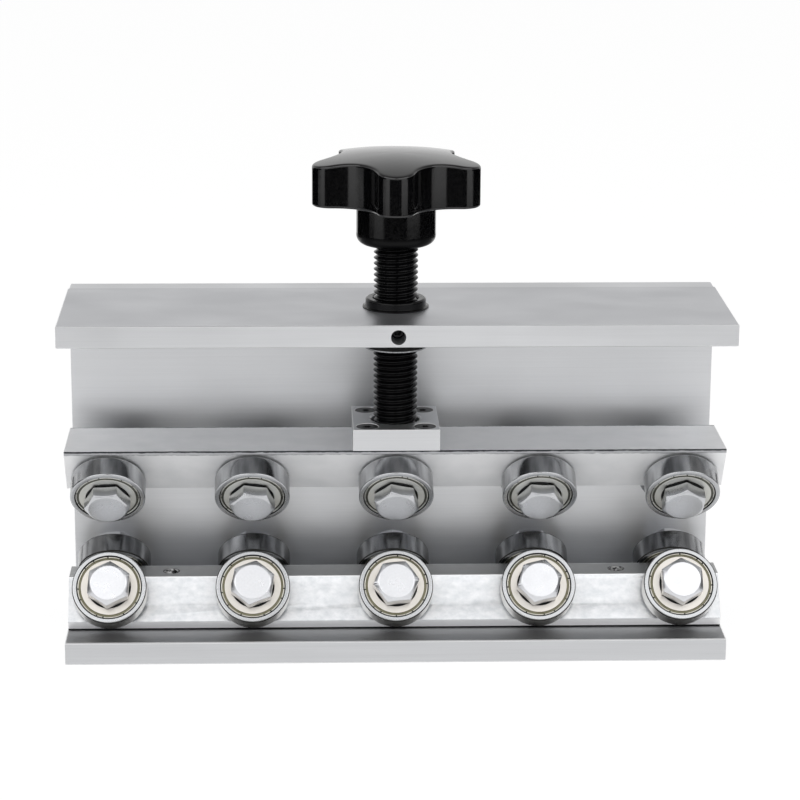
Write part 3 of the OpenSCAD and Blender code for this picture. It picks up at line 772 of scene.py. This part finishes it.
# %% Bearing outlines
BEARING_WIDE = 8.0
OUTSIDE_R, CHAMFER_R, GROOVE_R, STEP_R = 12.99, 12.7, 11.45, 9.9
RACE = rounded([(10.6, 1.1, 0), (11.42, 1.1, 0), (11.42, 0.0, 0.12), (13.0, 0.0, 0.48),
                (13.0, 8.0, 0.48), (11.42, 8.0, 0.12), (11.42, 6.9, 0), (10.6, 6.9, 0),
                (10.6, 5.6, 0), (11.2, 4.0, 1.2), (10.6, 2.4, 0)], 4, closed=True)
SHIELD = rounded([(7.5, 0.2, 0.12), (9.84, 0.2, 0.12), (10.04, 0.52, 0.1), (10.52, 0.56, 0),
                  (10.52, 0.9, 0), (9.8, 0.88, 0), (9.5, 0.55, 0), (7.5, 0.55, 0.1)],
                 3, closed=True)
RIM_MIDDLE, RIM_HALF, RIM_HIGH = 10.85, 0.27, 0.5
GAPS, GAP_HALF = 12, 0.022
rng = np.random.default_rng(7)


def shield_kinds(outline):
    """Finish 1 for the flat ring, and 2 for the greased step outside it."""
    ahead = np.roll(outline, -1, axis=0)
    return np.where((outline[:, 0] + ahead[:, 0]) / 2 > STEP_R, 2, 1)


def race_kinds(outline):
    """Finish 4 for the outside, 6 for the chamfers, 5 for the groove, which gets painted shade,
    and 0 for the faces, by the least and the most radius of each strip."""
    ahead = np.roll(outline, -1, axis=0)
    least, most = np.minimum(outline[:, 0], ahead[:, 0]), np.maximum(outline[:, 0], ahead[:, 0])
    return np.select([least > OUTSIDE_R, least > CHAMFER_R, most < GROOVE_R], [4, 6, 5], 0)


def rim(turn):
    """Arcs of a round bead of radius 0.27 mm round the shield, with a gap of half a millimetre
    between one and the next. Each arc's ends close at the middle of the bead."""
    at = turn + np.sort(np.arange(GAPS) + 0.25 * rng.standard_normal(GAPS)) * 2 * math.pi / GAPS
    g = np.linspace(0, 2 * math.pi, 11)[:-1]
    r, z = RIM_MIDDLE + RIM_HALF * np.cos(g), RIM_HIGH - RIM_HALF * np.sin(g)
    arcs = []
    for start, end in zip(at, np.append(at[1:], at[0] + 2 * math.pi)):
        arc = around(r, z, np.linspace(start + GAP_HALF, end - GAP_HALF, 16)[:, None])
        caps = np.repeat(arc[[0, -1]].mean(axis=1, keepdims=True), len(g), axis=1)
        arcs.append(np.concatenate([caps[:1], arc, caps[1:]]))
    return arcs


def bearing(row, n):
    """The skins of one bearing at its place."""
    spacer = SEATS[row.split("_")[0]][2]
    turn = rng.uniform(0, 2 * math.pi)

    def placed(grid, flip=False):
        g = grid.copy()
        if flip:
            g[..., 2] = BEARING_WIDE - g[..., 2]
        g[..., 2] += spacer
        return on_slope(g, row, n)

    skins = [skin(placed(lathe(RACE, 96)), ring=True, finish=race_kinds(RACE))]
    for flip in (False, True):
        skins.append(skin(placed(lathe(SHIELD, 72), flip), ring=True, finish=shield_kinds(SHIELD)))
        skins += [skin(placed(arc, flip), finish=3) for arc in rim(turn)]
    return skins


# %% Twenty bearings
# The upper rows get the painted shade copies of the lower rows' sheets.
SHEETS = {"upper": [shield_sheet_in_shade, step_sheet_in_shade, crimped_rim_in_shade], "lower": [ivory, olive, crimp]}
for row in ROWS:
    sheets = SHEETS[row.split("_")[0]]
    # The lower front row's outsides get the painted light copy; the other rows' outsides get
    # painted reflections.
    outside = steel_painted_light if row == "lower_front" else steel_painted_reflections
    # The lower bearings' chamfers get the painted dark, which stands for the dark they mirror.
    chamfer = race_steel if row.startswith("upper") else painted_dark
    for n in range(5):
        node = f"roller_{row}_{n + 1}"
        piece = build(f"bearing_{row}_{n + 1}", bearing(row, n),
                      [race_steel, *sheets, outside, painted_dark, chamfer])
        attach(piece, node)
        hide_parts(node)
print("bearings:", len(ROWS) * 5, "faces in each:", len(piece.data.polygons))

# %% [markdown]
# ## Hexagon bolts
# A bolt head is a hexagonal prism on a thin round washer face, and its corners are turned off by
# a cone. The shank, the washer face and the head's underside carry painted dark shade, which
# stands for the shadow under the head. Each head stopped at its own angle. The radius of a
# hexagon with slightly rounded corners follows from its six flats: one over the p-norm of the
# flats' cosines, where a large p gives sharp corners. The cone then gives the height at which
# each direction's side ends, so the arcs on the head come by themselves.

# %% Bolt surface
HEAD_TURN = [[4, -10, -16, -4, 26], [12, -25, 8, 19, -7],
             [26, 21, 6, 14, 31], [-14, 9, 28, -3, 17]]
HALF_FLATS = 7.0
HEAD_HIGH = {"upper": 4.5, "lower": 5.55}
WASHER_HIGH = 0.45
FACE_R = {"upper": 6.5, "lower": 6.1}
SHANK_R, WASHER_R, TIP_ROUND, SIDE_ROUND, FACE_ROUND = 4.97, 5.5, 0.8, 0.16, 0.12
CONE = math.tan(math.radians(30))
CORNER_SHARPNESS = 90
# Angles from a corner, in degrees, at which the side has points.
NEAR_CORNER = np.array([-30, -20, -10, -6, -4, -2.5, -1.2, 0, 1.2, 2.5, 4, 6, 10, 20])


def hexagon_radius(t):
    """Half the flats' distance over the p-norm of the cosines of the angles to the six flats."""
    flats = math.radians(30) + np.arange(6) * math.pi / 3
    near = np.cos(t[:, None] - flats[None]).clip(0)
    return HALF_FLATS / (near ** CORNER_SHARPNESS).sum(axis=1) ** (1 / CORNER_SHARPNESS)


def bolt(row, n, turn):
    """Rows of the bolt from the tip of its shank, over the washer face and the hexagon's side,
    along the cone at 30 degrees and over the round face to its middle."""
    level = row.split("_")[0]
    spacer, reach = SEATS[level][2:]
    face_r = FACE_R[level]
    face = spacer + BEARING_WIDE
    under = face + WASHER_HIGH
    t = np.radians((np.arange(6)[:, None] * 60 + NEAR_CORNER[None]).ravel())
    hexagon = hexagon_radius(t)
    shank = rounded([(0, -reach, 0), (SHANK_R, -reach, TIP_ROUND), (SHANK_R, face, 0),
                     (WASHER_R, face, 0.1), (WASHER_R, under, 0)], 3)
    top = under + HEAD_HIGH[level]
    cone = top - (hexagon - face_r).clip(0) * CONE
    soft = SIDE_ROUND
    rows = [*shank, (hexagon - soft, under), (hexagon - 0.3 * soft, under + 0.3 * soft),
            (hexagon, under + soft), (hexagon, under + 0.1 + soft),
            (hexagon, cone - soft - 0.1), (hexagon, cone - soft),
            (hexagon - 0.12 * soft, cone - 0.45 * soft), (hexagon - 0.5 * soft, cone + 0.02)]
    for r in face_r + FACE_ROUND * np.array([1, 0.35, -0.35, -1, -2]):
        drop = max(r - face_r + FACE_ROUND, 0) ** 2 / (4 * FACE_ROUND)
        rows.append((np.minimum(r, hexagon - 0.6 * soft), top - drop * CONE))
    rows += [(3.0, top), (0.0, top)]
    grid = np.array([around(r, z, t + math.radians(turn)) for r, z in rows])
    # Finish 1, the painted dark shade, for the shank, the washer face and the head's underside.
    kinds = (np.arange(len(rows) - 1) < len(shank)).astype(int)
    return skin(on_slope(grid, row, n), finish=kinds)


# %% Four rows of bolts
for row, turns in zip(ROWS, HEAD_TURN):
    parts = [bolt(row, n, turn) for n, turn in enumerate(turns)]
    # The upper rows get the painted shade copy of the zinc.
    plating = zinc_in_painted_shade if row.startswith("upper") else zinc
    piece = build(f"hexagon_bolts_{row}", parts, [plating, painted_dark], sharp_deg=28)
    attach(piece, BODY_OF_ROW[row.split("_")[0]])
    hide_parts(f"roller_bolts_{row}")
print("bolt rows:", len(ROWS))

# %% [markdown]
# ## Clamp screw
# The thread is a true helix, so that it climbs through its bush by its pitch for each turn. Its
# radius is a rounded ridge, read at a phase that grows with the height and falls with the angle.

# %% Thread surface
SCREW_R, THREAD_DEEP, THREAD_PITCH = 7.7, 1.15, 2.0
THREAD_LOW, THREAD_HIGH, THREAD_FADE = 76.35, 162.6, 1.2
FOOT_PIN = [(0, 73.05), (4.5, 73.05), (5.0, 73.55), (5.0, 76.25)]


def ridge(phase):
    """Share of the thread's depth at a phase from 0 to 1: 1.12 less 1.3 times the distance from
    the crest, which is 0 in the middle and 1 at both ends, kept between 0 and 1 and raised to the
    power 0.9. So crest and root are narrow flats, and the flanks between them bulge a little."""
    swing = np.abs((phase % 1.0) - 0.5) * 2
    return (1.12 - 1.3 * swing).clip(0, 1) ** 0.9


def screw_grid():
    """Rows one twelfth of a turn's climb apart; each point's radius is the root radius plus the
    ridge at its height over the pitch less its angle over a full turn. The ridge fades at both
    ends."""
    columns = 84
    t = np.arange(columns) * 2 * math.pi / columns
    z = np.arange(THREAD_LOW, THREAD_HIGH, THREAD_PITCH / 12)
    phase = z[:, None] / THREAD_PITCH - t[None] / (2 * math.pi)
    fade = (np.minimum(z - THREAD_LOW, THREAD_HIGH - z) / THREAD_FADE).clip(0, 1)
    root = SCREW_R - THREAD_DEEP
    thread = around(root + THREAD_DEEP * ridge(phase) * fade[:, None], z[:, None], t)
    low = lathe([*FOOT_PIN, (root, THREAD_LOW - 0.1)], columns)
    high = lathe([(root, THREAD_HIGH + 0.05), (0, THREAD_HIGH + 0.1)], columns)
    return np.concatenate([low, thread, high]) * MM


piece = build("clamp_screw_thread", [skin(screw_grid())], [blackened], sharp_deg=60)
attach(piece, "clamp_screw")
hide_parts("clamp_screw")
print("thread faces:", len(piece.data.polygons))

# %% [markdown]
# ## Star knob
# The knob's plan is five round lobes joined by hollow arcs that touch them. Moving such an outline
# inwards only changes the arcs' radii, so the rounded rim is exact: each row of the rim is the
# plan moved in by a little more. Over the rim lies a shallow dome, and under the lobes the hub.

# %% Knob surface
LOBE_AT, LOBE_R, HOLLOW_AT, HALF_LOBE = 23.4, 6.5, 20.5, math.radians(36)
LOBE_X = LOBE_AT * math.cos(HALF_LOBE)
# The hollow's arc touches the lobe's where their middles are both radii apart.
HOLLOW_R = ((HOLLOW_AT ** 2 + LOBE_AT ** 2 - 2 * HOLLOW_AT * LOBE_X - LOBE_R ** 2)
            / (2 * (LOBE_R - HOLLOW_AT + LOBE_X)))
DOME_R, KNOB_TOP, LOBE_LOW, HUB_R, HUB_LOW = 139.0, 174.8, 157.6, 13.75, 143.0
RIM_ROUND, UNDER_ROUND, UNDER_FROM = 0.95, 0.8, 16.2
BORE_R, BORE_TOP, DULL_BELOW = 9.86, 162.95, 147.2
KNOB_TURN = math.radians(-2.2 - 90)


def knob_plan(inset):
    """Points of the plan moved in by inset: on a lobe its middle plus lobe radius less inset, in
    a hollow the hollow's middle plus hollow radius plus inset, five times round."""
    middle = (HOLLOW_AT + HOLLOW_R) * np.array([math.cos(HALF_LOBE), math.sin(HALF_LOBE)])
    touch = math.atan2(middle[1], middle[0] - LOBE_AT)
    a = np.linspace(-touch, touch, 33)
    b = np.linspace(math.pi + touch, math.pi + 2 * HALF_LOBE - touch, 17)[1:-1]
    one = np.concatenate([
        np.stack([LOBE_AT + (LOBE_R - inset) * np.cos(a), (LOBE_R - inset) * np.sin(a)], -1),
        middle + (HOLLOW_R + inset) * np.stack([np.cos(b), np.sin(b)], -1)])
    g = KNOB_TURN + np.arange(5) * 2 * HALF_LOBE
    turn = np.array([[np.cos(g), -np.sin(g)], [np.sin(g), np.cos(g)]])
    return np.einsum("ijk,nj->kni", turn, one).reshape(-1, 2)


def knob_grid():
    """Rows from the middle of the screw hole's end, down the hole, round the hub, out under the
    lobes, up the side, round the rim and over the dome. The dome's height at radius r is the top
    less the dome radius plus the root of its square less r squared."""
    outer = knob_plan(0)
    angle = np.arctan2(outer[:, 1], outer[:, 0])
    ray = np.stack([np.cos(angle), np.sin(angle)], -1)

    def level(plan, z):
        return np.concatenate([plan, np.broadcast_to(np.asarray(z, float).reshape(-1, 1),
                                                     (len(plan), 1))], 1)

    def dome(plan):
        return KNOB_TOP - DOME_R + np.sqrt(DOME_R ** 2 - (plan ** 2).sum(axis=1))

    hub = rounded([(0, BORE_TOP, 0), (BORE_R, BORE_TOP, 0), (BORE_R, HUB_LOW, 0.3),
                   (HUB_R, HUB_LOW, 3.25), (HUB_R, LOBE_LOW, 1.6), (UNDER_FROM, LOBE_LOW, 0)], 8)
    rows = [level(r * ray, z) for r, z in hub]
    rows += [level(UNDER_FROM * ray * (1 - s) + knob_plan(UNDER_ROUND) * s, LOBE_LOW)
             for s in (0.5, 1.0)]
    rows += [level(knob_plan(UNDER_ROUND * (1 - math.sin(g))),
                   LOBE_LOW + UNDER_ROUND * (1 - math.cos(g)))
             for g in np.radians([22, 45, 68, 90])]
    lean = float(np.arcsin(np.hypot(*outer.T) / DOME_R).mean())
    end_plan = knob_plan(RIM_ROUND * (1 - math.sin(lean)))
    middle_z = dome(end_plan) - RIM_ROUND * math.cos(lean)
    rows += [level(outer, z) for z in (LOBE_LOW + UNDER_ROUND + 0.2, middle_z - 0.25, middle_z)]
    rows += [level(knob_plan(RIM_ROUND * (1 - math.cos(g))), middle_z + RIM_ROUND * math.sin(g))
             for g in np.linspace(0, math.pi / 2 - lean, 8)[1:]]
    rows += [level(end_plan * s, dome(end_plan * s))
             for s in (0.95, 0.85, 0.7, 0.5, 0.3, 0.12, 0.0)]
    return np.array(rows) * MM


grid = knob_grid()
height = grid[:, 0, 2] / MM
dull = (height[:-1] < DULL_BELOW) & (height[1:] < DULL_BELOW)
piece = build("star_knob_skin", [skin(grid, finish=dull.astype(int))], [phenolic, dull_phenolic],
              sharp_deg=50)
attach(piece, "clamp_screw")
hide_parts("star_knob")
print("knob faces:", len(piece.data.polygons))

# %% [markdown]
# ## Threaded bush
# The bush is a turned ring with a thin lip that curls out over the plate's hole. Its lower end is
# bare steel. The outline lists radius, height and rounding in mm.

# %% Bush
BUSH = rounded([(7.75, 106.9, 0), (8.1, 106.5, 0), (11.3, 106.5, 0.5), (11.3, 120.72, 0),
                (11.4, 120.74, 0), (11.55, 121.05, 0.1), (10.5, 121.35, 0.25), (10.5, 124.0, 0.8),
                (8.25, 124.0, 0.1), (7.75, 123.5, 0)], 5, closed=True)
BARE_BELOW = 108
bare = (BUSH[:, 1] < BARE_BELOW) & (np.roll(BUSH[:, 1], -1) < BARE_BELOW)
piece = build("bush_skin", [skin(lathe(BUSH, 120) * MM, ring=True, finish=bare.astype(int))],
              [blackened, turned], sharp_deg=45)
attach(piece, "frame")
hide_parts("threaded_bush")
print("bush faces:", len(piece.data.polygons))

# %% [markdown]
# ## Plates, beams and screws
# The plates and beams have the right shapes already, but a real edge is never quite sharp: it
# catches the light as a thin bright line. A copy of the CAD mesh is cleaned, by merging its
# loose triangles and dissolving the flat ones into whole faces, and a Bevel modifier rounds its
# edges by a few tenths of a millimetre.


# %% Eased copies
CORNER = math.radians(30)


def coat(mesh, *finishes):
    """Gives a mesh its finishes, with the first one on every face."""
    mesh.materials.clear()
    for used in finishes:
        mesh.materials.append(used)
    mesh.polygons.foreach_set("material_index", np.zeros(len(mesh.polygons), np.int32))


def eased(node, body, width_mm, finishes):
    """A copy of a CAD node with merged triangles and rounded edges. A second finish, a painted
    edge highlight, is used for the rounded edges alone."""
    name = node + "_eased"
    mesh = bpy.data.meshes.new(name)
    work = bmesh.new()
    work.from_mesh(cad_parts[node].data)
    bmesh.ops.remove_doubles(work, verts=work.verts, dist=1e-6)
    bmesh.ops.dissolve_limit(work, angle_limit=math.radians(0.5), verts=work.verts,
                             edges=work.edges)
    work.to_mesh(mesh)
    work.free()
    coat(mesh, *finishes)
    mesh.polygons.foreach_set("use_smooth", np.ones(len(mesh.polygons), bool))
    mesh.set_sharp_from_angle(angle=CORNER)
    made = put(name, mesh)
    bevel = made.modifiers.new("eased_edges", "BEVEL")
    bevel.width = width_mm * MM
    bevel.segments = 3
    bevel.limit_method = "ANGLE"
    bevel.angle_limit = CORNER
    bevel.harden_normals = True
    bevel.material = len(finishes) - 1 if len(finishes) > 1 else -1
    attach(made, body)
    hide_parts(node)
    return made


for node, body, width, used, slot in [
        ("back_plate", "frame", 0.2, [satin_back], "satin_aluminium"),
        ("top_plate", "frame", 0.35, [satin, edge_highlight_paint], "satin_aluminium"),
        ("bottom_plate", "frame", 0.3, [satin_base, edge_highlight_paint], "satin_aluminium"),
        ("upper_beam", "upper_beam", 0.25, [milled], "milled_aluminium"),
        ("lower_beam", "frame", 0.25, [planed], "milled_aluminium"),
        ("keeper_plate", "upper_beam", 0.3, [satin_keeper, edge_highlight_paint], "satin_aluminium"),
        ("keeper_screws", "upper_beam", 0.08, [black_screw], "black_screw_steel"),
        ("frame_screws", "frame", 0.08, [black_screw], "black_screw_steel")]:
    piece = eased(node, body, width, used)
    print(piece.name, len(piece.data.polygons), "faces before the bevel")

# %% [markdown]
# ## Pieces that stay as the CAD made them
# Hidden or plain pieces keep their CAD meshes and only get their finish.

# %% Finishes for the kept nodes
KEPT = {"lower_beam_screws": painted_glints, "bush_set_screw": black_screw, "screw_foot": turned,
        "knob_insert": turned}
for row in ROWS:
    # The inner races get the painted shade.
    KEPT["inner_races_" + row] = inner_race_shade
    KEPT["bearing_balls_" + row] = race_steel
    KEPT["ball_cages_" + row] = nylon
    KEPT["roller_spacers_" + row] = turned
for node, used in KEPT.items():
    coat(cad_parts[node].data, used)
print("kept nodes:", len(KEPT))
